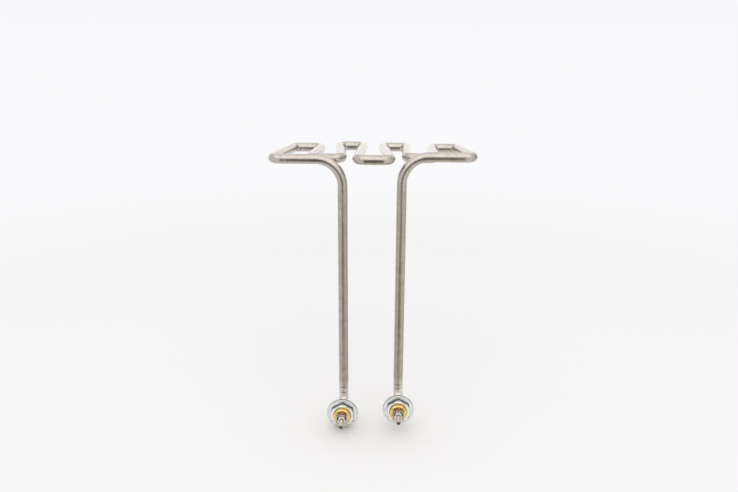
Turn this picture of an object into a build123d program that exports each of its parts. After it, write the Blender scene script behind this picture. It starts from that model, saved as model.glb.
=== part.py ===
from build123d import *

import os
from math import cos, radians, tan

# Tubular heating element: one sheathed heater tube, bent into two legs and a flat serpentine on
# top of them. A threaded bushing on each tube end passes through a panel and is held by a washer
# and a nut. A screw terminal stands on each cold pin.
#
# Frame: millimetres, +Z up. The origin is midway between the two bushing axes, on the seat plane,
# where the bushing collars meet the panel. The terminals point along -Y. The legs rise behind the
# seat plane, and the serpentine reaches back from them along +Y.

# ---- Heater tube ----
TUBE_DIAMETER = 8.5
TUBE_WALL = 0.7
END_BORE_DEPTH = 14.5       # open, unswaged end of the sheath, which takes the seal and filling

# ---- Legs ----
LEG_SPACING = 50.5          # between the two leg axes, and so between the two bushing axes
LEG_SETBACK = 19.0          # from the seat plane to the leg axes
SERPENTINE_HEIGHT = 227.5   # from the origin to the serpentine's centre plane
BUSHING_STEP = 5.0          # the right leg is this much the shorter, so its bushing sits higher
FOOT_BEND_RADIUS = 12.0
SHOULDER_BEND_RADIUS = 23.0

# ---- Serpentine: half plan, from the leg outwards and back to the middle ----
LOOP_BEND_RADIUS = 7.5
OUTER_HALF_WIDTH = 86.2     # to the outer corner's centre line
OUTER_LEAN = 9.0            # the outer arm leans in this much on its way back
OUTER_LOOP_DEPTH = 78.0     # from the legs to the outer back bar
OUTER_LOOP_WIDTH = 25.2     # centre to centre of the outer back bar's arms
BAR_GAP = 0.5               # clear space between a leg's bar and the short bar behind it
SHORT_BAR_OUTER = 54.0      # from the middle to the short bar's outer end
SHORT_BAR_WIDTH = 26.4
INNER_LOOP_DEPTH = 82.0     # from the legs to the inner back bar
INNER_LOOP_OUTER = 32.2     # from the middle to the inner back bar's outer arm
INNER_LOOP_WIDTH = 23.4
CENTRE_BAR_HALF_WIDTH = 14.4
CENTRE_BAR_FORWARD = 8.0    # the centre bar lies this far in front of the legs

# As bent, the serpentine strays a little from that plan. For its corners in order, from the leg
# outwards and back to the middle: shift along +X, alike on both sides, and rise on each side.
CORNER_SHIFTS = (0, 1.0, 2.4, 0, 1.7, -0.9, -0.9, 1.6)
CORNER_RISES = {
    "left": (-1.1, -1.1, -1.1, -1.7, -1.7, 0, 0, -0.4),
    "right": (1.2, -1.1, -1.1, -1.0, -1.0, -0.8, -0.8, -0.4),
}

# ---- Bushing ----
THREAD_DIAMETER = 15.8      # over the thread's crests
THREAD_MEAN_DIAMETER = 15.0  # halfway down the thread, where it and its nut meet
THREAD_LENGTH = 8.9         # from the seat plane to the bushing's outer end
THREAD_CHAMFER = 0.8
COLLAR_ACROSS_FLATS = 19.5
COLLAR_THICKNESS = 4.0
NECK_BASE_DIAMETER = 13.0   # soldered neck behind the collar, which tapers onto the tube
NECK_TIP_DIAMETER = 10.4
NECK_LENGTH = 2.6
SOLDER_GAP = 0.03           # radial, between the bushing's bore and the tube

# ---- Panel washer and lock nut ----
WASHER_DIAMETER = 28.0
WASHER_THICKNESS = 2.0
WASHER_EDGE = 0.4
WASHER_HOLE_GAP = 0.3       # radial, around the thread
NUT_ACROSS_FLATS = 19.5
NUT_THICKNESS = 3.6
THREAD_GAP = 0.05           # radial, around a thread: in its nut, or in a piece slid over it

# ---- Terminal ----
SEAL_DIAMETER = 11.2
SEAL_LIP = 1.0              # seal's flange, over the end of the tube and bushing
SEAL_PLUG_DEPTH = 5.0       # seal's stem, inside the tube
BEAD_DIAMETER = 8.4
BEAD_HEIGHT = 1.2
PIN_DIAMETER = 3.0          # cold pin, inside the tube
STUD_DIAMETER = 4.0         # its threaded end, over the thread's crests
STUD_MEAN_DIAMETER = 3.5
STUD_REACH = 24.5           # from the seat plane to the stud's free end
STUD_CHAMFER = 0.5
PLATE_THICKNESS = 0.6       # square clamp plate, with two side lips that hold a wire's lug
PLATE_LIP = 2.2             # how far its lips stand out of the plate
PLATE_NUT_GAP = 0.1         # between each lip and the nut's corner beside it
TERMINAL_NUT_ACROSS_FLATS = 7.0
TERMINAL_NUT_THICKNESS = 3.2
INSIDE_GAP = 0.02           # radial, between the pieces packed into the tube's end

HEX_CHAMFER_ANGLE = 30      # degrees, of every nut's outer face


def corner_width(across_flats):
    """A hexagon's width across its corners."""
    return across_flats / cos(radians(30))


# ---- Worked out ----
BORE_DIAMETER = TUBE_DIAMETER - 2 * TUBE_WALL
SHORT_BAR_BACK = TUBE_DIAMETER + BAR_GAP
LOCK_NUT_FACE = WASHER_THICKNESS + NUT_THICKNESS
PLATE_SIDE = corner_width(TERMINAL_NUT_ACROSS_FLATS) + 2 * (PLATE_NUT_GAP + PLATE_THICKNESS)
SEAL_FACE = THREAD_LENGTH + SEAL_LIP
BEAD_FACE = SEAL_FACE + BEAD_HEIGHT
PLATE_FACE = BEAD_FACE + PLATE_THICKNESS
TERMINAL_NUT_FACE = PLATE_FACE + TERMINAL_NUT_THICKNESS

SIDES = {"left": -1, "right": 1}


def bushing_height(side):
    """Height of a bushing's axis above the origin."""
    return side * BUSHING_STEP / 2


def half_path(side_name):
    """Corners of one half of the tube's centre line, from its end to the middle, with radii."""
    side = SIDES[side_name]
    leg_x = side * LEG_SPACING / 2
    foot_z = bushing_height(side)
    outer_arm_back = OUTER_HALF_WIDTH - OUTER_LEAN
    plan = [
        (OUTER_HALF_WIDTH, 0),
        (outer_arm_back, OUTER_LOOP_DEPTH),
        (outer_arm_back - OUTER_LOOP_WIDTH, OUTER_LOOP_DEPTH),
        (SHORT_BAR_OUTER, SHORT_BAR_BACK),
        (SHORT_BAR_OUTER - SHORT_BAR_WIDTH, SHORT_BAR_BACK),
        (INNER_LOOP_OUTER, INNER_LOOP_DEPTH),
        (INNER_LOOP_OUTER - INNER_LOOP_WIDTH, INNER_LOOP_DEPTH),
        (CENTRE_BAR_HALF_WIDTH, -CENTRE_BAR_FORWARD),
    ]
    rises = CORNER_RISES[side_name]
    leg_top = SERPENTINE_HEIGHT + rises[0]
    corners = [(leg_x, LEG_SETBACK, foot_z), (leg_x, LEG_SETBACK, leg_top)]
    for (x, y), shift, rise in zip(plan, CORNER_SHIFTS, rises):
        corners.append((side * x + shift, LEG_SETBACK + y, SERPENTINE_HEIGHT + rise))
    radii = [FOOT_BEND_RADIUS, SHOULDER_BEND_RADIUS] + [LOOP_BEND_RADIUS] * len(plan)
    return (leg_x, -THREAD_LENGTH, foot_z), corners, radii


def tube_path():
    """The whole centre line: straight runs joined by tangent arcs."""
    left_end, left_corners, left_radii = half_path("left")
    right_end, right_corners, right_radii = half_path("right")
    points = [left_end] + left_corners + right_corners[::-1] + [right_end]
    return FilletPolyline(*points, radius=left_radii + right_radii[::-1])


def sheath():
    """The sheath: solid where it is swaged onto its filling, open at its two ends."""
    path = tube_path()
    section = Plane(origin=path @ 0, x_dir=(1, 0, 0), z_dir=path % 0)
    tube = sweep(section * Circle(TUBE_DIAMETER / 2), path=path)
    for side in SIDES.values():
        tube -= at_bushing(rod(BORE_DIAMETER, THREAD_LENGTH - END_BORE_DEPTH, THREAD_LENGTH), side)
    return tube


def rod(diameter, start, stop):
    """A round bar along the bushing's axis, from one distance out of the seat plane to another."""
    return Pos(0, 0, start) * extrude(Circle(diameter / 2), amount=stop - start)


def threaded_rod(crest, mean, nut_start, nut_stop, start, stop, end_chamfer):
    """A thread without its turns: at its crests where free, at its mean diameter inside its nut."""
    tip = rod(crest, nut_stop, stop)
    tip = chamfer(tip.edges().group_by(Axis.Z)[-1], end_chamfer)
    return rod(crest, start, nut_start) + rod(mean, nut_start, nut_stop) + tip


def hexagon(across_flats, start, stop, turn=0):
    """A hexagonal bar along the bushing's axis. Unturned, one of its corners is at the top."""
    outline = Rot(0, 0, 90 + turn) * RegularPolygon(across_flats / 2, 6, major_radius=False)
    return Pos(0, 0, start) * extrude(outline, amount=stop - start)


def at_bushing(piece, side):
    """Takes a piece modelled along +Z from the seat plane to its place on a bushing's axis."""
    seat = Plane(
        origin=(side * LEG_SPACING / 2, 0, bushing_height(side)),
        x_dir=(1, 0, 0),
        z_dir=(0, -1, 0),
    )
    return seat * piece


def chamfered_hexagon(across_flats, start, stop, turn=0):
    """A hexagonal bar whose corners are turned off to a cone at its outer face."""
    corner = corner_width(across_flats) / 2
    slope = (corner - across_flats / 2) * tan(radians(HEX_CHAMFER_ANGLE))
    profile = Polyline(
        (0, start),
        (corner, start),
        (corner, stop - slope),
        (across_flats / 2, stop),
        (0, stop),
        close=True,
    )
    cone = revolve(Plane.XZ * make_face(profile), axis=Axis.Z)
    return hexagon(across_flats, start, stop, turn) & cone


def hex_nut(across_flats, thread_mean, start, stop, turn=0):
    """A plain hexagon nut, its outer face chamfered and its bore at its thread's mean diameter."""
    bore = rod(thread_mean + 2 * THREAD_GAP, start, stop)
    return chamfered_hexagon(across_flats, start, stop, turn) - bore


def bushing():
    """Threaded bushing: hexagonal collar, thread blank and tapered neck, bored for the tube."""
    collar = hexagon(COLLAR_ACROSS_FLATS, -COLLAR_THICKNESS, 0)
    thread = threaded_rod(
        THREAD_DIAMETER,
        THREAD_MEAN_DIAMETER,
        WASHER_THICKNESS,
        LOCK_NUT_FACE,
        0,
        THREAD_LENGTH,
        THREAD_CHAMFER,
    )
    neck_start = -COLLAR_THICKNESS - NECK_LENGTH
    neck = Pos(0, 0, -COLLAR_THICKNESS - NECK_LENGTH / 2) * Cone(
        NECK_TIP_DIAMETER / 2, NECK_BASE_DIAMETER / 2, NECK_LENGTH
    )
    bore = rod(TUBE_DIAMETER + 2 * SOLDER_GAP, neck_start, THREAD_LENGTH)
    return collar + thread + neck - bore


def panel_washer():
    """Large flat washer, its outer face broken at the rim."""
    disc = rod(WASHER_DIAMETER, 0, WASHER_THICKNESS)
    disc = chamfer(disc.edges().group_by(Axis.Z)[-1], WASHER_EDGE)
    return disc - rod(THREAD_DIAMETER + 2 * WASHER_HOLE_GAP, 0, WASHER_THICKNESS)


def lock_nut():
    """Thin nut on the bushing's thread, seated on the washer."""
    return hex_nut(NUT_ACROSS_FLATS, THREAD_MEAN_DIAMETER, WASHER_THICKNESS, LOCK_NUT_FACE)


def end_seal():
    """Moulded seal: a stem inside the tube and a flange over the tube's and bushing's ends."""
    lip = rod(SEAL_DIAMETER, THREAD_LENGTH, SEAL_FACE)
    stem = rod(BORE_DIAMETER - 2 * INSIDE_GAP, THREAD_LENGTH - SEAL_PLUG_DEPTH, THREAD_LENGTH)
    hole = rod(PIN_DIAMETER + 2 * INSIDE_GAP, THREAD_LENGTH - SEAL_PLUG_DEPTH, SEAL_FACE)
    return lip + stem - hole


def magnesia_filling():
    """Compacted filling between the cold pin and the sheath, behind the seal."""
    start = THREAD_LENGTH - END_BORE_DEPTH
    stop = THREAD_LENGTH - SEAL_PLUG_DEPTH
    plug = rod(BORE_DIAMETER - 2 * INSIDE_GAP, start, stop)
    return plug - rod(PIN_DIAMETER + 2 * INSIDE_GAP, start, stop)


def ceramic_bead():
    """Insulating bead that keeps the clamp plate off the seal and the sheath."""
    bead = rod(BEAD_DIAMETER, SEAL_FACE, BEAD_FACE)
    return bead - rod(STUD_DIAMETER + 2 * THREAD_GAP, SEAL_FACE, BEAD_FACE)


def cold_pin():
    """Cold pin through filling and seal, stepped up to a threaded stud where it leaves them."""
    pin = rod(PIN_DIAMETER, THREAD_LENGTH - END_BORE_DEPTH, SEAL_FACE)
    stud = threaded_rod(
        STUD_DIAMETER,
        STUD_MEAN_DIAMETER,
        PLATE_FACE,
        TERMINAL_NUT_FACE,
        SEAL_FACE,
        STUD_REACH,
        STUD_CHAMFER,
    )
    return pin + stud


def clamp_plate():
    """Square clamp plate, its two side edges turned up into lips."""
    half = PLATE_SIDE / 2
    inner = half - PLATE_THICKNESS
    lip_top = PLATE_FACE + PLATE_LIP
    profile = Polyline(
        (-half, BEAD_FACE),
        (half, BEAD_FACE),
        (half, lip_top),
        (inner, lip_top),
        (inner, PLATE_FACE),
        (-inner, PLATE_FACE),
        (-inner, lip_top),
        (-half, lip_top),
        close=True,
    )
    plate = extrude(Plane.XZ * make_face(profile), amount=half, both=True)
    return plate - rod(STUD_DIAMETER + 2 * THREAD_GAP, BEAD_FACE, PLATE_FACE)


def terminal_nut():
    """Small nut that clamps a wire's lug onto the plate, one of its flats at the top."""
    flats = TERMINAL_NUT_ACROSS_FLATS
    return hex_nut(flats, STUD_MEAN_DIAMETER, PLATE_FACE, TERMINAL_NUT_FACE, turn=30)


FITTINGS = {
    "bushing": bushing,
    "panel_washer": panel_washer,
    "lock_nut": lock_nut,
    "magnesia_filling": magnesia_filling,
    "end_seal": end_seal,
    "ceramic_bead": ceramic_bead,
    "cold_pin": cold_pin,
    "clamp_plate": clamp_plate,
    "terminal_nut": terminal_nut,
}

os.makedirs("parts", exist_ok=True)
export_step(sheath(), "parts/sheath_tube.step")
for piece_name, make_piece in FITTINGS.items():
    for side_name, side_sign in SIDES.items():
        piece = at_bushing(make_piece(), side_sign)
        export_step(piece, f"parts/{side_name}_{piece_name}.step")
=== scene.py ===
from collections import namedtuple
from math import cos, exp, pi, radians, sin, tan

import bpy
from mathutils import Matrix, Quaternion, Vector


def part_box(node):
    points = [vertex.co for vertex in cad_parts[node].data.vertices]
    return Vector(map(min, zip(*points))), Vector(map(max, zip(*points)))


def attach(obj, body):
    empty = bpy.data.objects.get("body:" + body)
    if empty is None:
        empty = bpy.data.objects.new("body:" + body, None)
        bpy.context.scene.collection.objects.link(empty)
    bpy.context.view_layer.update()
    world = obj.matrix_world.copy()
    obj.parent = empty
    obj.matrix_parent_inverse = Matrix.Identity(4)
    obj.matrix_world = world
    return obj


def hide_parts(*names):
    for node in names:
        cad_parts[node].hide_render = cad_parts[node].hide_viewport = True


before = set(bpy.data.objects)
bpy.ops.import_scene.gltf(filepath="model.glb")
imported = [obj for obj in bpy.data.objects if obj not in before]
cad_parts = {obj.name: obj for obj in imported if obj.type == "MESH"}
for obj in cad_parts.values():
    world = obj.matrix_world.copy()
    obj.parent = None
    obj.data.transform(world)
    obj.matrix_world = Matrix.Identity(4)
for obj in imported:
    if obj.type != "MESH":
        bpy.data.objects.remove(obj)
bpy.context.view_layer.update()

MM = 0.001

# ---- The heater tube's centre line, in millimetres, as the CAD has it ----
TUBE_DIAMETER = 8.5
TUBE_WALL = 0.7
END_BORE_DEPTH = 14.5
LEG_SETBACK = 19.0
SERPENTINE_HEIGHT = 227.5
FOOT_BEND_RADIUS = 12.0
SHOULDER_BEND_RADIUS = 23.0
LOOP_BEND_RADIUS = 7.5
OUTER_HALF_WIDTH = 86.2
OUTER_LEAN = 9.0
OUTER_LOOP_DEPTH = 78.0
OUTER_LOOP_WIDTH = 25.2
BAR_GAP = 0.5
SHORT_BAR_OUTER = 54.0
SHORT_BAR_WIDTH = 26.4
INNER_LOOP_DEPTH = 82.0
INNER_LOOP_OUTER = 32.2
INNER_LOOP_WIDTH = 23.4
CENTRE_BAR_HALF_WIDTH = 14.4
CENTRE_BAR_FORWARD = 8.0
# How the bent tube strays from that plan, corner by corner from the leg to the middle
CORNER_SHIFTS = (0, 1.0, 2.4, 0, 1.7, -0.9, -0.9, 1.6)
CORNER_RISES = {
    "left": (-1.1, -1.1, -1.1, -1.7, -1.7, 0, 0, -0.4),
    "right": (1.2, -1.1, -1.1, -1.0, -1.0, -0.8, -0.8, -0.4),
}

# Marks of the bending tool on each leg: height above the bushing's axis, and depth
FOOT_MARKS = {"left": ((17.6, 0.26), (12.3, 0.22)), "right": ((16.2, 0.26), (12.4, 0.2))}
MARK_SPREAD = 0.55
MARK_SHADE_PER_MM = 3.4         # painted shade in a mark's groove, for each millimetre of its depth
MARKED_HEIGHT = 30.0
LEG_REACH = 5.0             # a point further than this from a leg's centre line isn't on it
# the feet are painted lighter below this height: partly rubbing by the bending tool, partly a
# painted highlight
RUB_HIGHLIGHT_HEIGHT = 24.0
RUB_HIGHLIGHT_FADE = 7.0
# Share of the tube's diameter that a bend takes off in its plane, by the bend's radius
FLATTENING = {LOOP_BEND_RADIUS: 0.03, FOOT_BEND_RADIUS: 0.021, SHOULDER_BEND_RADIUS: 0.0072}
TUBE_SEGMENTS = 40
BEND_STEP = radians(3)
LEG_STEP = 0.5              # stations along the legs, close enough to show the tool marks
RUN_STEP = 4.0

# ---- Fittings, in millimetres along each bushing's axis, out from the panel's seat ----
THREAD_LENGTH = 8.9
THREAD_DIAMETER = 15.8
THREAD_PITCH = 1.5
THREAD_DEPTH = 0.8
THREAD_UNDERCUT = 0.9
THREAD_START = 0.25
THREAD_ROWS = 12            # rows of vertices to a pitch
THREAD_UNSHADED_END = 1.3     # the front of the thread is left out of its painted shade, as bright as the bushing's face
THREAD_FLAT = 0.12          # share of a pitch that is flat at the crest, and at the root
COLLAR_ACROSS_FLATS = 19.5
COLLAR_THICKNESS = 4.0
NECK_BASE_DIAMETER = 13.0
NECK_TIP_DIAMETER = 10.4
NECK_LENGTH = 2.6
NECK_FLARE = 1.6            # the power by which the neck widens towards the collar
NECK_EDGE = (0.3, 0.1)      # broken off the neck's tip, across and along
SOLDER_GAP = 0.03
WASHER_DIAMETER = 28.0
WASHER_THICKNESS = 2.0
WASHER_HOLE_DIAMETER = 16.4
WASHER_RIM_WIDTH = 0.55
WASHER_RIM_DROP = 0.35
WASHER_EDGE_RADIUS = 0.25
RIM_SHADE_DEPTH = 0.12        # how far in from its rim the washer is painted dark: painted shade
NUT_ACROSS_FLATS = 19.5
NUT_THICKNESS = 3.6
NUT_SHADE_BACK = 1.35        # painted shade: dark bands on the nut's sides, measured from its back and front
NUT_SHADE_FRONT = 1.45
# painted highlight: a bright band along the front of the nut's sides
NUT_HIGHLIGHT_RIM = 0.5
HEX_CORNER_BREAK = 0.12
CHAMFER_INSET = 0.15        # how far inside the flats a hexagon's chamfer starts
CHAMFER_STEPS = 9
SIDE_BANDS = 4
SEAL_LIP_RADIUS = 4.35      # pressed together, so less than the CAD's
SEAL_ASKEW = {"left": 0.0, "right": -1.05}
SEAL_LIP = 1.0
SEAL_PLUG_DEPTH = 5.0
SEAL_EDGE_RADIUS = 0.35
SEAL_CLEARANCE = 0.02       # in the tube and round the pin
BEAD_DIAMETER = 8.4
BEAD_HEIGHT = 1.2
BEAD_EDGE_RADIUS = 0.3
BEAD_CLEARANCE = 0.05       # round the stud
PIN_DIAMETER = 3.0
STUD_DIAMETER = 4.0
STUD_PITCH = 0.7
STUD_THREAD_DEPTH = 0.42
STUD_REACH = 24.5
STUD_ROWS = 10              # rows of vertices to a pitch
PLATE_THICKNESS = 0.6
PLATE_LIP = 2.2
PLATE_BEND = 0.9
PLATE_EDGE_BREAK = 0.1
PLATE_CLEARANCE = 0.1       # round the stud
TERMINAL_NUT_ACROSS_FLATS = 7.0
TERMINAL_NUT_THICKNESS = 3.2
TERMINAL_NUT_CROWN = 1.7

LOCK_NUT_FACE = WASHER_THICKNESS + NUT_THICKNESS
SEAL_FACE = THREAD_LENGTH + SEAL_LIP
BEAD_FACE = SEAL_FACE + BEAD_HEIGHT
PLATE_FACE = BEAD_FACE + PLATE_THICKNESS
TERMINAL_NUT_FACE = PLATE_FACE + TERMINAL_NUT_THICKNESS

SIDES = {"left": -1, "right": 1}


def bushing_axis(side_name):
    """Where a bushing's axis crosses the panel's seat plane, in millimetres, from the frame."""
    low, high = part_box(side_name + "_bushing")
    return Vector(((low[0] + high[0]) / 2, 0, (low[2] + high[2]) / 2)) / MM


AXES = {side_name: bushing_axis(side_name) for side_name in SIDES}


# ------------------------------------------------------------------ materials


def material(name, slot):
    """A new node material, its node tree and its Principled shader."""
    made = bpy.data.materials.new(name)
    made.use_nodes = True
    made["slot"] = slot
    return made, made.node_tree, made.node_tree.nodes["Principled BSDF"]


def node(tree, kind, **values):
    """A new node with its settings."""
    made = tree.nodes.new(kind)
    for key, value in values.items():
        setattr(made, key, value)
    return made


def mapped_noise(tree, scale, stretch=(1, 1, 1), detail=4.0):
    """Noise in object space, stretched along the axes."""
    place = node(tree, "ShaderNodeTexCoord")
    mapping = node(tree, "ShaderNodeMapping")
    mapping.inputs["Scale"].default_value = stretch
    noise = node(tree, "ShaderNodeTexNoise")
    noise.inputs["Scale"].default_value = scale
    noise.inputs["Detail"].default_value = detail
    noise.inputs["Roughness"].default_value = 0.55
    tree.links.new(place.outputs["Object"], mapping.inputs["Vector"])
    tree.links.new(mapping.outputs["Vector"], noise.inputs["Vector"])
    return noise


def span(tree, source, low, high):
    """A 0 to 1 socket spread over low to high."""
    made = node(tree, "ShaderNodeMapRange")
    made.inputs["To Min"].default_value = low
    made.inputs["To Max"].default_value = high
    tree.links.new(source, made.inputs["Value"])
    return made.outputs["Result"]


def eased(tree, source, start, stop):
    """0 to 1 as a socket goes from start to stop, with soft ends."""
    made = node(tree, "ShaderNodeMapRange", interpolation_type="SMOOTHSTEP")
    made.inputs["From Min"].default_value = start
    made.inputs["From Max"].default_value = stop
    tree.links.new(source, made.inputs["Value"])
    return made.outputs["Result"]


def mixed(tree, factor, first, second):
    """A colour between two colours or sockets."""
    made = node(tree, "ShaderNodeMix", data_type="RGBA")
    colours = [socket for socket in made.inputs if socket.type == "RGBA"]
    for socket, colour in zip(colours, (first, second)):
        if isinstance(colour, tuple):
            socket.default_value = (*colour, 1)
        else:
            tree.links.new(colour, socket)
    tree.links.new(factor, made.inputs["Factor"])
    return next(socket for socket in made.outputs if socket.type == "RGBA")


def bump(tree, shader, source, height):
    """Raises the surface by a socket's value, a height in metres."""
    made = node(tree, "ShaderNodeBump")
    made.inputs["Distance"].default_value = height
    made.inputs["Strength"].default_value = 1.0
    tree.links.new(source, made.inputs["Height"])
    tree.links.new(made.outputs["Normal"], shader.inputs["Normal"])


def cloudy(tree, clouds, dark, light):
    """A colour that goes from dark to light with a cloudy noise."""
    made = node(tree, "ShaderNodeValToRGB")
    stops = ((0.3, dark), (0.7, light))
    for element, (position, colour) in zip(made.color_ramp.elements, stops):
        element.position = position
        element.color = (*colour, 1)
    tree.links.new(clouds.outputs["Fac"], made.inputs["Fac"])
    return made.outputs["Color"]


def surface(name, slot, dark, light, rough, noise_scale, bump_height, metallic=0.0, finer=8):
    """A material whose colour and roughness vary with a cloudy noise, with a finer grain."""
    made, tree, shader = material(name, slot)
    clouds = mapped_noise(tree, noise_scale)
    tree.links.new(cloudy(tree, clouds, dark, light), shader.inputs["Base Color"])
    tree.links.new(span(tree, clouds.outputs["Fac"], *rough), shader.inputs["Roughness"])
    shader.inputs["Metallic"].default_value = metallic
    grain = mapped_noise(tree, noise_scale * finer, detail=2.0)
    bump(tree, shader, grain.outputs["Fac"], bump_height)
    return made


def metal(*values):
    """A metal surface: the same values as surface has, with a finer grain."""
    return surface(*values, metallic=1.0, finer=9)


SATIN_FADE = (0.19, 0.224)      # heights in metres between which the legs turn bright
SATIN_ROUGHNESS = (0.38, 0.47)
BRIGHT_ROUGHNESS = (0.18, 0.28)
# the colour of the painted shade in the tool marks' grooves
MARK_SHADE_COLOUR = (0.10, 0.085, 0.07)


def attribute(tree, name):
    """A value that the mesh carries at each of its points."""
    made = node(tree, "ShaderNodeAttribute")
    made.attribute_name = name
    return made.outputs["Fac"]


def sheath_steel():
    """Drawn steel: bright on the serpentine, satin and a little uneven on the legs."""
    made, tree, shader = material("sheath_steel", "sheath_steel")
    clouds = mapped_noise(tree, 180)
    bright = cloudy(tree, clouds, (0.46, 0.43, 0.38), (0.55, 0.515, 0.46))
    satin = cloudy(tree, clouds, (0.39, 0.36, 0.295), (0.50, 0.465, 0.39))
    # the feet's lighter colour: partly rubbing by the bending tool, partly a painted highlight
    rub_highlight_colour = cloudy(tree, clouds, (0.60, 0.57, 0.52), (0.74, 0.71, 0.66))
    shader.inputs["Metallic"].default_value = 1.0
    place = node(tree, "ShaderNodeTexCoord")
    apart = node(tree, "ShaderNodeSeparateXYZ")
    tree.links.new(place.outputs["Object"], apart.inputs["Vector"])
    height = eased(tree, apart.outputs["Z"], *SATIN_FADE)
    plain = mixed(tree, height, satin, bright)
    rub_highlight = mixed(tree, attribute(tree, "rub_highlight"), plain, rub_highlight_colour)
    # painted shade in the tool marks' grooves
    mark_shade = mixed(tree, attribute(tree, "mark_shade"), rub_highlight, MARK_SHADE_COLOUR)
    tree.links.new(mark_shade, shader.inputs["Base Color"])
    rough = node(tree, "ShaderNodeMix", data_type="FLOAT")
    tree.links.new(height, rough.inputs["Factor"])
    tree.links.new(span(tree, clouds.outputs["Fac"], *SATIN_ROUGHNESS), rough.inputs["A"])
    tree.links.new(span(tree, clouds.outputs["Fac"], *BRIGHT_ROUGHNESS), rough.inputs["B"])
    tree.links.new(rough.outputs["Result"], shader.inputs["Roughness"])
    grain = mapped_noise(tree, 900, (1, 1, 0.35), 3.0)
    bump(tree, shader, grain.outputs["Fac"], 0.00003)
    return made


SHEATH = sheath_steel()
# Each is: name, slot, dark and light colour, roughness range, noise scale, grain height in metres
BRASS = metal(
    "bushing_brass", "bushing_brass",
    (0.72, 0.53, 0.17), (0.88, 0.71, 0.30), (0.16, 0.28), 350, 0.00002,
)
# Painted shade: a darker copy of the brass, for the thread
BRASS_THREAD_SHADE = metal(
    "brass_thread_shade", "bushing_brass",
    (0.34, 0.22, 0.04), (0.55, 0.38, 0.09), (0.2, 0.32), 350, 0.00002,
)
SOLDER = metal(
    "silver_solder", "silver_solder",
    (0.62, 0.58, 0.52), (0.74, 0.70, 0.64), (0.32, 0.48), 600, 0.00004,
)
ZINC = metal(
    "zinc_plate", "zinc_plate",
    (0.66, 0.69, 0.67), (0.86, 0.88, 0.85), (0.07, 0.17), 420, 0.00003,
)
# Painted shade: a dark copy of the zinc, for the washer's rim and the dark bands on the lock
# nut's sides
ZINC_SHADE = metal(
    "zinc_painted_shade", "zinc_plate",
    (0.05, 0.055, 0.06), (0.16, 0.17, 0.17), (0.3, 0.45), 700, 0.00004,
)
# Painted highlights: lighter copies of the zinc, for the lock nut's sides and its face
ZINC_SIDE_HIGHLIGHT = metal(
    "zinc_nut_side_highlight", "zinc_plate",
    (0.74, 0.77, 0.76), (0.90, 0.92, 0.91), (0.25, 0.4), 500, 0.00003,
)
ZINC_FACE_HIGHLIGHT = metal(
    "zinc_nut_face_highlight", "zinc_plate",
    (0.86, 0.88, 0.87), (0.96, 0.97, 0.96), (0.22, 0.34), 500, 0.00002,
)
NICKEL = metal(
    "nickel_plate", "nickel_plate",
    (0.36, 0.33, 0.30), (0.56, 0.52, 0.48), (0.16, 0.30), 700, 0.00003,
)
NICKEL_BRIGHT = metal(
    "nickel_nut", "nickel_plate",
    (0.62, 0.59, 0.56), (0.78, 0.75, 0.72), (0.14, 0.26), 700, 0.00002,
)
STUD_STEEL = metal(
    "terminal_stud", "nickel_plate",
    (0.34, 0.31, 0.25), (0.55, 0.51, 0.44), (0.25, 0.40), 900, 0.00004,
)
SILICONE = surface(
    "red_silicone", "red_silicone",
    (0.42, 0.05, 0.03), (0.56, 0.09, 0.05), (0.4, 0.55), 400, 0.00002,
)
CERAMIC = surface(
    "white_ceramic", "white_ceramic",
    (0.78, 0.74, 0.66), (0.90, 0.87, 0.80), (0.5, 0.7), 500, 0.00003,
)
MAGNESIA = surface(
    "magnesia", "magnesia",
    (0.80, 0.79, 0.75), (0.93, 0.92, 0.89), (0.8, 0.95), 900, 0.00005,
)
# Painted shade: a near-black copy of the nickel, for the clamp plate's cut top and bottom edges
PLATE_EDGE_SHADE = metal(
    "plate_edge_shade", "nickel_plate",
    (0.05, 0.03, 0.04), (0.16, 0.11, 0.13), (0.35, 0.5), 900, 0.00003,
)
# Painted reflection: the stud's cut end face painted dark brown
STUD_END_SHADE = surface(
    "stud_end_shade", "nickel_plate",
    (0.05, 0.028, 0.024), (0.13, 0.075, 0.06), (0.35, 0.6), 900, 0.00004,
)


# ------------------------------------------------------------------ mesh tools


def finish_mesh(name, vertices, faces, materials, sharp=35, face_slots=None, replaces=()):
    """Makes the piece's object, in metres, riding the body."""
    mesh = bpy.data.meshes.new(name)
    mesh.from_pydata([tuple(v * MM) for v in vertices], [], faces)
    mesh.update()
    mesh.polygons.foreach_set("use_smooth", [True] * len(mesh.polygons))
    if face_slots:
        mesh.polygons.foreach_set("material_index", face_slots)
    mesh.set_sharp_from_angle(angle=radians(sharp))
    for each in materials:
        mesh.materials.append(each)
    piece = bpy.data.objects.new(name, mesh)
    bpy.context.scene.collection.objects.link(piece)
    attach(piece, "root")
    if replaces:
        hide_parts(*replaces)
    return piece


def rounded(profile, radius, steps=3):
    """A closed (radius, distance) profile with every corner rounded off."""
    result = []
    count = len(profile)
    for i, point in enumerate(profile):
        corner = Vector(point)
        before = Vector(profile[i - 1]) - corner
        after = Vector(profile[(i + 1) % count]) - corner
        # under half of each edge, so that two rounded corners never meet
        reach = min(radius, before.length * 0.45, after.length * 0.45)
        a = corner + before.normalized() * reach
        b = corner + after.normalized() * reach
        for step in range(steps + 1):
            t = step / steps
            result.append(tuple(a * (1 - t) ** 2 + corner * (2 * t * (1 - t)) + b * t**2))
    return result


def ring_faces(near, far, segments):
    """The band of faces between two rings of vertices, given by their first ones."""
    faces = []
    for i in range(segments):
        n = (i + 1) % segments
        faces.append((near + i, near + n, far + n, far + i))
    return faces


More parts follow.
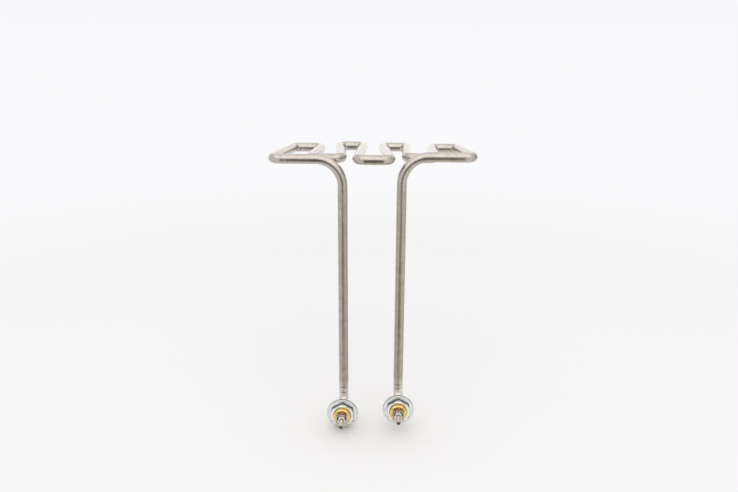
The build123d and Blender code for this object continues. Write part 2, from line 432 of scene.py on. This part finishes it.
def turned(rows, segments, closed=True):
    """Vertices and faces of a turned piece along +Z. Each row is (radius or radius(angle), z)."""
    vertices, faces = [], []
    for radius, z in rows:
        for i in range(segments):
            angle = 2 * pi * i / segments
            r = radius(angle) if callable(radius) else radius
            vertices.append(Vector((r * cos(angle), r * sin(angle), z)))
    count = len(rows)
    for j in range(count if closed else count - 1):
        faces += ring_faces(j * segments, (j + 1) % count * segments, segments)
    if not closed:
        faces.append(tuple(reversed(range(segments))))
        faces.append(tuple(range((count - 1) * segments, count * segments)))
    return vertices, faces


def slots_by_place(vertices, faces, choose):
    """A material for each face, chosen by its middle's distance from the axis and along it."""
    slots = []
    for face in faces:
        middle = sum((vertices[i] for i in face), Vector()) / len(face)
        slots.append(choose(middle.xy.length, middle.z))
    return slots


def seated(vertices, axis):
    """From along +Z to out of the panel, on a bushing's axis."""
    return [Vector((axis.x + v.x, -v.z, axis.z + v.y)) for v in vertices]


def hexagon_radius(across_flats, turn):
    """Radius of a hexagon at an angle, its corners broken. Unturned, a corner is at the top."""
    flat = across_flats / 2
    most = flat / cos(radians(30)) - HEX_CORNER_BREAK

    def radius(angle):
        around = (angle - pi / 2 - radians(turn)) % radians(60) - radians(30)
        return min(flat / cos(around), most)

    return radius


def hex_rows(across_flats, start, stop, turn, chamfer_stop, crown=0):
    """A hexagon's side rows. Cones, or in front a round crown, turn its corners off."""
    outline = hexagon_radius(across_flats, turn)
    flat = across_flats / 2
    corner = flat / cos(radians(30))
    slope = tan(radians(30))
    cone = (corner - flat) * slope * 1.15      # a cone's height, with some to spare

    def side(z):
        reach = flat - CHAMFER_INSET + (z - start) / slope
        if crown and z > stop - crown:
            rise = z - stop + crown
            reach = min(reach, corner - crown + (crown**2 - rise**2) ** 0.5)
        elif chamfer_stop and not crown:
            reach = min(reach, flat - CHAMFER_INSET + (stop - z) / slope)
        return lambda angle: min(outline(angle), reach)

    zs = [start + cone * i / CHAMFER_STEPS for i in range(CHAMFER_STEPS + 1)]
    if chamfer_stop and not crown:
        first, last = zs[-1], stop - cone
        zs += [first + (last - first) * i / SIDE_BANDS for i in range(1, SIDE_BANDS)]
    if chamfer_stop:
        tall = crown or cone
        zs += [stop - tall * (1 - i / CHAMFER_STEPS) for i in range(CHAMFER_STEPS + 1)]
    else:
        zs += [stop]
    return [(side(z), z) for z in zs]


def thread_radius(crest, depth, pitch, z):
    """Radius of a thread with straight flanks at a height, as a function of the angle."""

    def radius(angle):
        phase = (z / pitch - angle / (2 * pi)) % 1
        rise = abs(phase - 0.5) * 2
        return crest - depth * min(max((rise - THREAD_FLAT) / (1 - 2 * THREAD_FLAT), 0), 1)

    return radius


def thread_rows(crest, depth, pitch, start, stop, steps, tip):
    """Rows of a thread, so many to a pitch, that runs down to the tip's radius at the end."""
    rows = []
    z = start
    while z < stop - 0.01:
        cut = thread_radius(crest, depth, pitch, z)
        limit = tip + (stop - z)
        rows.append((lambda angle, cut=cut, limit=limit: min(cut(angle), limit), z))
        z += pitch / steps
    return rows


# ------------------------------------------------------------------ fittings


def make_bushing(side_name, axis):
    """Threaded brass body: hexagon collar behind the panel, thread, neck soldered to the tube."""
    segments = 96
    bore = TUBE_DIAMETER / 2 + SOLDER_GAP
    crest = THREAD_DIAMETER / 2
    root = crest - THREAD_UNDERCUT
    neck_tip, neck_base = NECK_TIP_DIAMETER / 2, NECK_BASE_DIAMETER / 2
    neck_end = -COLLAR_THICKNESS - NECK_LENGTH
    rows = [(bore, neck_end), (neck_tip - NECK_EDGE[0], neck_end)]
    neck_steps = 6
    for i in range(neck_steps + 1):
        t = i / neck_steps
        flare = neck_tip + (neck_base - neck_tip) * t**NECK_FLARE
        rows.append((flare, -COLLAR_THICKNESS - (NECK_LENGTH - NECK_EDGE[1]) * (1 - t)))
    soldered = range(1, len(rows))
    rows += hex_rows(COLLAR_ACROSS_FLATS, -COLLAR_THICKNESS, 0, 0, False)
    rows += [(root, 0), (root, THREAD_START)]
    rows += thread_rows(
        crest, THREAD_DEPTH, THREAD_PITCH, THREAD_START + 0.05, THREAD_LENGTH, THREAD_ROWS, root
    )
    rows += [(root - 0.05, THREAD_LENGTH), (bore, THREAD_LENGTH)]
    vertices, faces = turned(rows, segments)
    slots = []
    for i, face in enumerate(faces):
        if i // segments in soldered:
            slots.append(1)
        # the thread gets the darker brass as painted shade, all but its front end
        elif 0 < vertices[face[0]].z < THREAD_LENGTH - THREAD_UNSHADED_END:
            slots.append(2)
        else:
            slots.append(0)
    return finish_mesh(
        side_name + "_threaded_bushing",
        seated(vertices, axis),
        faces,
        [BRASS, SOLDER, BRASS_THREAD_SHADE],
        sharp=40,
        face_slots=slots,
        replaces=[side_name + "_bushing"],
    )


def make_washer(side_name, axis):
    """Punched washer: a rolled rim on the outer face, and its outer edge painted dark as painted
    shade.
    """
    h, r, t = WASHER_HOLE_DIAMETER / 2, WASHER_DIAMETER / 2, WASHER_THICKNESS
    profile = [(h, 0), (r, 0), (r, t - WASHER_RIM_DROP), (r - WASHER_RIM_WIDTH, t), (h, t)]
    vertices, faces = turned(rounded(profile, WASHER_EDGE_RADIUS), 128)
    # painted shade: the faces at the washer's outer edge get the dark zinc
    rim_shade = slots_by_place(vertices, faces, lambda across, z: int(across > r - RIM_SHADE_DEPTH))
    return finish_mesh(
        side_name + "_large_washer",
        seated(vertices, axis),
        faces,
        [ZINC, ZINC_SHADE],
        face_slots=rim_shade,
        replaces=[side_name + "_panel_washer"],
    )


def nut_mesh(across_flats, crest, pitch, start, stop, turn, segments, crown=0):
    """A hexagon nut with a plain bore inside its thread's crest, countersunk at both faces."""
    bore = crest / 2 - pitch * 0.5 + 0.05
    back_mouth, front_mouth = crest / 2 + 0.1, crest / 2 + 0.25
    rows = [(back_mouth, start)]
    rows += hex_rows(across_flats, start, stop, turn, True, crown)
    rows += [(front_mouth, stop), (bore, stop - pitch * 0.45), (bore, start + pitch * 0.3)]
    return turned(rows, segments)


def nut_painted_band(across, z):
    """Painted light on the lock nut: a painted highlight on its face, and on the sides a painted
    highlight band between two bands of painted shade.
    """
    if z > LOCK_NUT_FACE - NUT_HIGHLIGHT_RIM or across < NUT_ACROSS_FLATS / 2 - 0.3:
        return 0
    if z > LOCK_NUT_FACE - NUT_SHADE_FRONT or z < WASHER_THICKNESS + NUT_SHADE_BACK:
        return 2
    return 1


def make_lock_nut(side_name, axis):
    """Thin hexagon nut on the bushing, a corner at the top."""
    vertices, faces = nut_mesh(
        NUT_ACROSS_FLATS, THREAD_DIAMETER, THREAD_PITCH, WASHER_THICKNESS, LOCK_NUT_FACE,
        turn=0, segments=144,
    )
    return finish_mesh(
        side_name + "_thin_nut",
        seated(vertices, axis),
        faces,
        [ZINC_FACE_HIGHLIGHT, ZINC_SIDE_HIGHLIGHT, ZINC_SHADE],
        sharp=25,
        # the nut's faces get painted highlight and painted shade, band by band
        face_slots=slots_by_place(vertices, faces, nut_painted_band),
        replaces=[side_name + "_lock_nut"],
    )


def make_seal(side_name, axis):
    """Moulded silicone: a soft lip over the tube's end, pressed askew, and a stem in the tube."""
    stem = TUBE_DIAMETER / 2 - TUBE_WALL - SEAL_CLEARANCE
    hole = PIN_DIAMETER / 2 + SEAL_CLEARANCE
    back = THREAD_LENGTH - SEAL_PLUG_DEPTH
    lip = SEAL_LIP_RADIUS
    profile = [(hole, back), (stem, back), (stem, THREAD_LENGTH), (lip, THREAD_LENGTH)]
    profile += [(lip, SEAL_FACE), (hole, SEAL_FACE)]
    vertices, faces = turned(rounded(profile, SEAL_EDGE_RADIUS, 4), 96)
    for v in vertices:
        if v.xy.length > stem + 0.1:
            v.x += SEAL_ASKEW[side_name]
    return finish_mesh(
        side_name + "_silicone_seal",
        seated(vertices, axis),
        faces,
        [SILICONE],
        replaces=[side_name + "_end_seal"],
    )


def make_bead(side_name, axis):
    """Ceramic bead between the seal and the clamp plate."""
    hole = STUD_DIAMETER / 2 + BEAD_CLEARANCE
    profile = [(hole, SEAL_FACE), (BEAD_DIAMETER / 2, SEAL_FACE)]
    profile += [(BEAD_DIAMETER / 2, BEAD_FACE), (hole, BEAD_FACE)]
    vertices, faces = turned(rounded(profile, BEAD_EDGE_RADIUS, 4), 80)
    return finish_mesh(
        side_name + "_insulating_bead",
        seated(vertices, axis),
        faces,
        [CERAMIC],
        replaces=[side_name + "_ceramic_bead"],
    )


def make_stud(side_name, axis):
    """Cold pin with its threaded end, and its cut end face painted dark as a painted reflection
    of dark surroundings.
    """
    crest = STUD_DIAMETER / 2
    start = SEAL_FACE + STUD_PITCH / STUD_ROWS
    rows = [(PIN_DIAMETER / 2, THREAD_LENGTH - END_BORE_DEPTH), (PIN_DIAMETER / 2, SEAL_FACE)]
    rows += [(crest - 0.4, SEAL_FACE + 0.01)]
    rows += thread_rows(
        crest, STUD_THREAD_DEPTH, STUD_PITCH, start, STUD_REACH, STUD_ROWS, crest - 0.45
    )
    rows += [(crest - 0.5, STUD_REACH)]
    vertices, faces = turned(rows, 48, closed=False)
    return finish_mesh(
        side_name + "_terminal_stud",
        seated(vertices, axis),
        faces,
        [STUD_STEEL, STUD_END_SHADE],
        sharp=40,
        # the end face gets the painted reflection
        face_slots=[0] * (len(faces) - 1) + [1],
        replaces=[side_name + "_cold_pin"],
    )


def bend_arc(centre, side, radius, steps=6):
    """A quarter circle of the plate's section, from its flat up to its lip."""
    arc = []
    for i in range(steps + 1):
        angle = radians(90) * i / steps
        arc.append((centre[0] + side * radius * sin(angle), centre[1] - radius * cos(angle)))
    return arc


def drill(piece, axis, radius, start, stop):
    """A round hole along the bushing's axis."""
    vertices, faces = turned([(radius, start), (radius, stop)], 48, closed=False)
    cutter_mesh = bpy.data.meshes.new("drill")
    cutter_mesh.from_pydata([tuple(v * MM) for v in seated(vertices, axis)], [], faces)
    cutter = bpy.data.objects.new("drill", cutter_mesh)
    bpy.context.scene.collection.objects.link(cutter)
    cut = piece.modifiers.new("hole", "BOOLEAN")
    cut.operation = "DIFFERENCE"
    cut.solver = "EXACT"
    cut.object = cutter
    bpy.context.view_layer.update()
    shown = piece.evaluated_get(bpy.context.evaluated_depsgraph_get())
    drilled = bpy.data.meshes.new_from_object(shown)
    piece.modifiers.clear()
    piece.data = drilled
    bpy.data.objects.remove(cutter)


def make_clamp_plate(side_name, axis):
    """Folded plate: a square with a hole, two side edges turned up with a bend's radius."""
    low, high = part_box(side_name + "_clamp_plate")
    half = (high[0] - low[0]) / 2 / MM
    t, top = PLATE_THICKNESS, PLATE_FACE + PLATE_LIP
    middle = half - PLATE_BEND, BEAD_FACE + PLATE_BEND
    left, right = (-middle[0], middle[1]), middle
    outer = [(-half, top - PLATE_EDGE_BREAK), *reversed(bend_arc(left, -1, PLATE_BEND))]
    outer += [*bend_arc(right, 1, PLATE_BEND), (half, top - PLATE_EDGE_BREAK)]
    inner = [(-half + t, top), *reversed(bend_arc(left, -1, PLATE_BEND - t))]
    inner += [*bend_arc(right, 1, PLATE_BEND - t), (half - t, top)]
    section = outer + inner[::-1]
    vertices = [Vector((x, y, z)) for y in (-half, half) for x, z in section]
    count = len(section)
    faces = ring_faces(0, count, count)
    faces.append(tuple(reversed(range(count))))
    faces.append(tuple(range(count, 2 * count)))
    piece = finish_mesh(
        side_name + "_lug_plate",
        seated(vertices, axis),
        faces,
        [NICKEL, PLATE_EDGE_SHADE],
        sharp=30,
        # the plate's cut top and bottom edges get the painted shade
        face_slots=[0] * count + [1, 1],
        replaces=[side_name + "_clamp_plate"],
    )
    drill(piece, axis, STUD_DIAMETER / 2 + PLATE_CLEARANCE, BEAD_FACE - 1, PLATE_FACE + 1)
    return piece


def make_terminal_nut(side_name, axis):
    """Small hexagon nut with a round crown, a flat at the top."""
    vertices, faces = nut_mesh(
        TERMINAL_NUT_ACROSS_FLATS, STUD_DIAMETER, STUD_PITCH, PLATE_FACE, TERMINAL_NUT_FACE,
        turn=30, segments=96, crown=TERMINAL_NUT_CROWN,
    )
    return finish_mesh(
        side_name + "_small_nut",
        seated(vertices, axis),
        faces,
        [NICKEL_BRIGHT],
        sharp=25,
        replaces=[side_name + "_terminal_nut"],
    )


# ------------------------------------------------------------------ heater tube

# One place along the centre line. In a bend, inward points to its centre and share is how far
# round it the place is, 0 to 1.
Station = namedtuple("Station", "point direction inward share bend_radius")


def centre_line_corners():
    """Corners and bend radii of the whole centre line, from the left end to the right end."""
    outer_back = OUTER_HALF_WIDTH - OUTER_LEAN
    plan = [
        (OUTER_HALF_WIDTH, 0),
        (outer_back, OUTER_LOOP_DEPTH),
        (outer_back - OUTER_LOOP_WIDTH, OUTER_LOOP_DEPTH),
        (SHORT_BAR_OUTER, TUBE_DIAMETER + BAR_GAP),
        (SHORT_BAR_OUTER - SHORT_BAR_WIDTH, TUBE_DIAMETER + BAR_GAP),
        (INNER_LOOP_OUTER, INNER_LOOP_DEPTH),
        (INNER_LOOP_OUTER - INNER_LOOP_WIDTH, INNER_LOOP_DEPTH),
        (CENTRE_BAR_HALF_WIDTH, -CENTRE_BAR_FORWARD),
    ]
    halves = []
    for side_name, side in SIDES.items():
        axis = AXES[side_name]
        rises = CORNER_RISES[side_name]
        leg_top = SERPENTINE_HEIGHT + rises[0]
        half = [(Vector((axis.x, -THREAD_LENGTH, axis.z)), 0)]
        half.append((Vector((axis.x, LEG_SETBACK, axis.z)), FOOT_BEND_RADIUS))
        half.append((Vector((axis.x, LEG_SETBACK, leg_top)), SHOULDER_BEND_RADIUS))
        for (x, y), shift, rise in zip(plan, CORNER_SHIFTS, rises):
            corner = Vector((side * x + shift, LEG_SETBACK + y, SERPENTINE_HEIGHT + rise))
            half.append((corner, LOOP_BEND_RADIUS))
        halves.append(half)
    return halves[0] + halves[1][::-1]


def add_run(stations, start, stop, direction):
    """Stations along a straight, leaving out one that the last bend already ends on."""
    upright = abs(direction.z) > 0.9
    steps = max(2, round((stop - start).length / (LEG_STEP if upright else RUN_STEP)))
    for k in range(steps + 1):
        point = start.lerp(stop, k / steps)
        if stations and (point - stations[-1].point).length < 0.05:
            continue
        stations.append(Station(point, direction.copy(), None, 0, 0))


def centre_line():
    """Stations along the whole centre line."""
    corners = centre_line_corners()
    stations = []
    start = corners[0][0]
    for i in range(1, len(corners) - 1):
        point, radius = corners[i]
        arriving = (point - corners[i - 1][0]).normalized()
        leaving = (corners[i + 1][0] - point).normalized()
        turn = arriving.angle(leaving)
        reach = radius * tan(turn / 2)
        arc_start = point - arriving * reach
        add_run(stations, start, arc_start, arriving)
        spin = arriving.cross(leaving).normalized()
        to_centre = spin.cross(arriving)
        centre = arc_start + to_centre * radius
        steps = max(6, round(turn / BEND_STEP))
        for k in range(steps + 1):
            rotation = Quaternion(spin, turn * k / steps)
            place = centre + rotation @ (-to_centre * radius)
            inward = rotation @ to_centre
            stations.append(Station(place, rotation @ arriving, inward, k / steps, radius))
        start = point + leaving * reach
    add_run(stations, start, corners[-1][0], leaving)
    return stations


def foot_height(point):
    """The leg whose foot a point is on, and its height above that leg's bushing axis."""
    side_name = "left" if point.x < 0 else "right"
    return side_name, point.z - AXES[side_name].z


def foot_mark(point):
    """Depth of the bending tool's marks round a leg, just above its foot."""
    side_name, height = foot_height(point)
    if height > MARKED_HEIGHT or abs(point.y - LEG_SETBACK) > LEG_REACH:
        return 0
    marks = FOOT_MARKS[side_name]
    return sum(deep * exp(-(((height - place) / MARK_SPREAD) ** 2)) for place, deep in marks)


def foot_rub_highlight(point):
    """How much of the lighter colour a leg's foot gets, fading upwards, 0 to 1: partly rubbing by
    the bending tool, partly a painted highlight where the bend faces the light.
    """
    height = foot_height(point)[1]
    return min(max((RUB_HIGHLIGHT_HEIGHT - height) / RUB_HIGHLIGHT_FADE, 0), 1)


def tube_skin(stations):
    """The tube's outer vertices, with each one's share of the feet's painted highlight and of the
    painted shade in the tool marks.
    """
    radius = TUBE_DIAMETER / 2
    vertices, rub_highlights, marks = [], [], []
    side_dir = Vector((1, 0, 0))
    last = stations[0].direction
    for station in stations:
        point, direction, inward = station.point, station.direction, station.inward
        side_dir = last.rotation_difference(direction) @ side_dir
        side_dir = (side_dir - direction * side_dir.dot(direction)).normalized()
        last = direction
        up = direction.cross(side_dir)
        mark = foot_mark(point)
        # the feet's painted highlight, partly rubbing by the bending tool
        rub_highlights += [foot_rub_highlight(point)] * TUBE_SEGMENTS
        squeeze = 0
        if inward is not None:
            squeeze = sin(pi * station.share) * FLATTENING[station.bend_radius]
        for i in range(TUBE_SEGMENTS):
            angle = 2 * pi * i / TUBE_SEGMENTS
            arm = side_dir * cos(angle) + up * sin(angle)
            front = max(0, -arm.y) ** 2
            # painted shade in the marks' grooves, on the front of the leg
            marks.append(min(mark * MARK_SHADE_PER_MM, 1) * front)
            offset = arm * (radius - mark * front)
            if squeeze:
                offset -= inward * (arm.dot(inward) * radius * squeeze)
            vertices.append(point + offset)
    return vertices, rub_highlights, marks


def open_end(vertices, faces, station, base, sign):
    """Adds an end's cut edge, its bore's wall and the bore's floor."""
    segments = TUBE_SEGMENTS
    bore = TUBE_DIAMETER / 2 - TUBE_WALL
    direction = station.direction * sign
    first = len(vertices)
    for depth in (0, END_BORE_DEPTH):
        for i in range(segments):
            arm = (vertices[base + i] - station.point).normalized()
            vertices.append(station.point + direction * depth + arm * bore)
    for a, b in ((base, first), (first, first + segments)):
        for i in range(segments):
            n = (i + 1) % segments
            quad = (a + i, b + i, b + n, a + n)
            faces.append(quad if sign > 0 else quad[::-1])
    floor_loop = tuple(range(first + segments, first + 2 * segments))
    faces.append(floor_loop if sign > 0 else floor_loop[::-1])


def make_tube():
    """The sheath: a drawn tube, a little flattened where it was bent, its feet grooved by the
    bending tool.
    """
    stations = centre_line()
    vertices, rub_highlights, marks = tube_skin(stations)
    faces = []
    last = len(stations) - 1
    for j in range(last):
        faces += ring_faces(j * TUBE_SEGMENTS, (j + 1) * TUBE_SEGMENTS, TUBE_SEGMENTS)
    open_end(vertices, faces, stations[0], 0, 1)
    open_end(vertices, faces, stations[last], last * TUBE_SEGMENTS, -1)
    tube = finish_mesh(
        "heater_tube", vertices, faces, [SHEATH], sharp=50, replaces=["sheath_tube"]
    )
    inside = [0] * (len(vertices) - len(rub_highlights))
    # the shares of the feet's painted highlight and of the marks' painted shade, for the material
    for name, values in (("rub_highlight", rub_highlights + inside), ("mark_shade", marks + inside)):
        tube.data.attributes.new(name, "FLOAT", "POINT").data.foreach_set("value", values)
    return tube


make_tube()
for side_name, axis in AXES.items():
    for make in (
        make_bushing,
        make_washer,
        make_lock_nut,
        make_seal,
        make_bead,
        make_stud,
        make_clamp_plate,
        make_terminal_nut,
    ):
        make(side_name, axis)
    # the filling keeps the CAD's shape and gets its material only
    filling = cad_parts[side_name + "_magnesia_filling"]
    filling.data.materials.clear()
    filling.data.materials.append(MAGNESIA)


# ------------------------------------------------------------------ studio

FLOOR_HEIGHT = -16.5
FLOOR_REACH = 30000
FLOOR_COLOUR = (0.85, 0.85, 0.85)         # what lights the object from below
PAPER_SEEN = (0.91, 0.90, 0.882)          # the same paper as the camera and the metal see it
BACKDROP_SEEN = (0.955, 0.955, 0.972)     # where it runs up and away behind the object
SKY_SEEN = (0.90, 0.905, 0.93)
WORLD_COLOUR = (0.925, 0.925, 0.945)      # what lights the object from all round
PAPER_FADE = (0.35, 1.1)      # metres from the object over which the paper turns to backdrop
SHADOW_FADE = (0.3, 1.3)      # and over which it stops showing shadows
SKY_FADE = (0.0, 0.2)         # how far a direction rises while the backdrop turns to sky

CARD_FOOT = FLOOR_HEIGHT + 2
# Plain cards, as name, colour and corners: dark flags low in front and to the right, and pale
# reflectors behind the object, above it and high in front
CARDS = [
    (
        "front_flag_left", (0.075, 0.06, 0.05),
        [(-125, -190, CARD_FOOT), (-37, -190, CARD_FOOT), (-60, -640, 250), (-200, -640, 250)],
    ),
    (
        "front_flag_right", (0.22, 0.19, 0.165),
        [(-37, -190, CARD_FOOT), (125, -190, CARD_FOOT), (200, -640, 250), (-60, -640, 250)],
    ),
    (
        "near_flag", (0.38, 0.35, 0.31),
        [
            (-110, -80, CARD_FOOT),
            (110, -80, CARD_FOOT),
            (125, -190, CARD_FOOT),
            (-125, -190, CARD_FOOT),
        ],
    ),
    (
        "side_flag", (0.25, 0.24, 0.23),
        [(1000, 150, CARD_FOOT), (1000, 450, CARD_FOOT), (1000, 450, 700), (1000, 150, 700)],
    ),
    (
        "rear_card", (1.26, 1.25, 1.25),
        [
            (-1600, 1500, CARD_FOOT),
            (1600, 1500, CARD_FOOT),
            (1600, 1500, 1100),
            (-1600, 1500, 1100),
        ],
    ),
    (
        "front_card", (1.60, 1.56, 1.52),
        [(-2200, -2000, 1000), (2200, -2000, 1000), (2200, -500, 2100), (-2200, -500, 2100)],
    ),
    (
        "top_card", (1.3, 1.28, 1.25),
        [(-1500, -500, 2100), (1500, -500, 2100), (1500, 1300, 2100), (-1500, 1300, 2100)],
    ),
]


def stage_mesh(name, corners, surface_used):
    """A flat sheet of the studio."""
    mesh = bpy.data.meshes.new(name)
    mesh.from_pydata([tuple(Vector(v) * MM) for v in corners], [], [(0, 1, 2, 3)])
    mesh.materials.append(surface_used)
    made = bpy.data.objects.new(name, mesh)
    bpy.context.scene.collection.objects.link(made)
    return made


def combined(tree, operation, first, second):
    """Two sockets put together by a calculation."""
    made = node(tree, "ShaderNodeMath", operation=operation)
    tree.links.new(first, made.inputs[0])
    tree.links.new(second, made.inputs[1])
    return made.outputs["Value"]


def seen_ray(tree):
    """1 for the rays that look at the background: from the camera, in metal and through glass."""
    path = node(tree, "ShaderNodeLightPath")
    total = path.outputs["Is Camera Ray"]
    for other in ("Is Glossy Ray", "Is Transmission Ray"):
        total = combined(tree, "MAXIMUM", total, path.outputs[other])
    return total


def make_floor():
    """Pale paper that keeps the object's shadow and fades into an even backdrop around it."""
    paper, tree, shader = material("floor_paper", "stage")
    seen = seen_ray(tree)
    tree.links.new(mixed(tree, seen, FLOOR_COLOUR, PAPER_SEEN), shader.inputs["Base Color"])
    shader.inputs["Roughness"].default_value = 0.9
    shader.inputs["Specular IOR Level"].default_value = 0.0
    place = node(tree, "ShaderNodeTexCoord")
    away = node(tree, "ShaderNodeVectorMath", operation="LENGTH")
    tree.links.new(place.outputs["Object"], away.inputs[0])
    distance = away.outputs["Value"]
    glow = node(tree, "ShaderNodeEmission")
    fading = mixed(tree, eased(tree, distance, *PAPER_FADE), PAPER_SEEN, BACKDROP_SEEN)
    tree.links.new(fading, glow.inputs["Color"])
    share = combined(tree, "MULTIPLY", seen, eased(tree, distance, *SHADOW_FADE))
    blend = node(tree, "ShaderNodeMixShader")
    tree.links.new(share, blend.inputs["Fac"])
    tree.links.new(shader.outputs["BSDF"], blend.inputs[1])
    tree.links.new(glow.outputs["Emission"], blend.inputs[2])
    tree.links.new(blend.outputs["Shader"], tree.nodes["Material Output"].inputs["Surface"])
    corners = [(-1, -1), (1, -1), (1, 1), (-1, 1)]
    corners = [(x * FLOOR_REACH, y * FLOOR_REACH, FLOOR_HEIGHT) for x, y in corners]
    stage_mesh("floor", corners, paper)


def make_card(name, colour, corners):
    """A plain card that only shiny surfaces see, as a photographer's flag or reflector."""
    glowing = bpy.data.materials.new(name)
    glowing.use_nodes = True
    tree = glowing.node_tree
    tree.nodes.remove(tree.nodes["Principled BSDF"])
    glow = node(tree, "ShaderNodeEmission")
    glow.inputs["Color"].default_value = (*colour, 1)
    glow.inputs["Strength"].default_value = 1.0
    tree.links.new(glow.outputs["Emission"], tree.nodes["Material Output"].inputs["Surface"])
    card = stage_mesh(name, corners, glowing)
    card.visible_camera = False
    card.visible_diffuse = False
    card.visible_shadow = False
    card.visible_transmission = False


def make_world():
    """Even light from all round. The camera and the metal see it turn to sky as it rises."""
    world = bpy.data.worlds.new("studio")
    bpy.context.scene.world = world
    world.use_nodes = True
    tree = world.node_tree
    background = tree.nodes["Background"]
    direction = node(tree, "ShaderNodeTexCoord")
    part = node(tree, "ShaderNodeSeparateXYZ")
    tree.links.new(direction.outputs["Generated"], part.inputs["Vector"])
    rising = mixed(tree, eased(tree, part.outputs["Z"], *SKY_FADE), BACKDROP_SEEN, SKY_SEEN)
    colour = mixed(tree, seen_ray(tree), WORLD_COLOUR, rising)
    tree.links.new(colour, background.inputs["Color"])
    background.inputs["Strength"].default_value = 1.0


def make_soft_box(place, target, size, radiance):
    """A soft box of a plain brightness, where 1 is white. Its size is in metres."""
    lamp = bpy.data.lights.new("soft_box", "AREA")
    lamp.shape = "RECTANGLE"
    lamp.size, lamp.size_y = size
    lamp.energy = radiance * pi * size[0] * size[1]
    made = bpy.data.objects.new("soft_box", lamp)
    made.location = Vector(place) * MM
    made.rotation_euler = (Vector(target) - Vector(place)).to_track_quat("-Z", "Y").to_euler()
    bpy.context.scene.collection.objects.link(made)
    made.visible_glossy = False          # the wider front card stands for it in the metal


make_floor()
for card_values in CARDS:
    make_card(*card_values)
make_world()
make_soft_box(place=(0, -1300, 1900), target=(0, 40, 100), size=(2.4, 1.6), radiance=0.8)

# ------------------------------------------------------------------ camera

CAMERA_PLACE = Vector((11.9, -527.6, 306.0))
CAMERA_PITCH = radians(15.87)
CAMERA_YAW = radians(1.5)
CAMERA_ROLL = radians(0.28)
FOCAL_PIXELS = 650
IMAGE_WIDTH = 738
SENSOR_WIDTH = 36


def make_camera():
    """The photograph's camera, pitched down, yawed to the left and rolled a little."""
    data = bpy.data.cameras.new("camera")
    data.sensor_width = SENSOR_WIDTH
    data.lens = FOCAL_PIXELS / IMAGE_WIDTH * SENSOR_WIDTH
    data.clip_start = 0.01
    camera = bpy.data.objects.new("camera", data)
    level = cos(CAMERA_PITCH)
    forward = Vector((-sin(CAMERA_YAW) * level, cos(CAMERA_YAW) * level, -sin(CAMERA_PITCH)))
    level_right = forward.cross(Vector((0, 0, 1))).normalized()
    level_up = level_right.cross(forward)
    right = level_right * cos(CAMERA_ROLL) + level_up * sin(CAMERA_ROLL)
    up = level_up * cos(CAMERA_ROLL) - level_right * sin(CAMERA_ROLL)
    turned_to = Matrix((right, up, -forward)).transposed().to_4x4()
    camera.matrix_world = Matrix.Translation(CAMERA_PLACE * MM) @ turned_to
    bpy.context.scene.collection.objects.link(camera)
    bpy.context.scene.camera = camera


make_camera()
bpy.context.scene.view_settings.view_transform = "Standard"
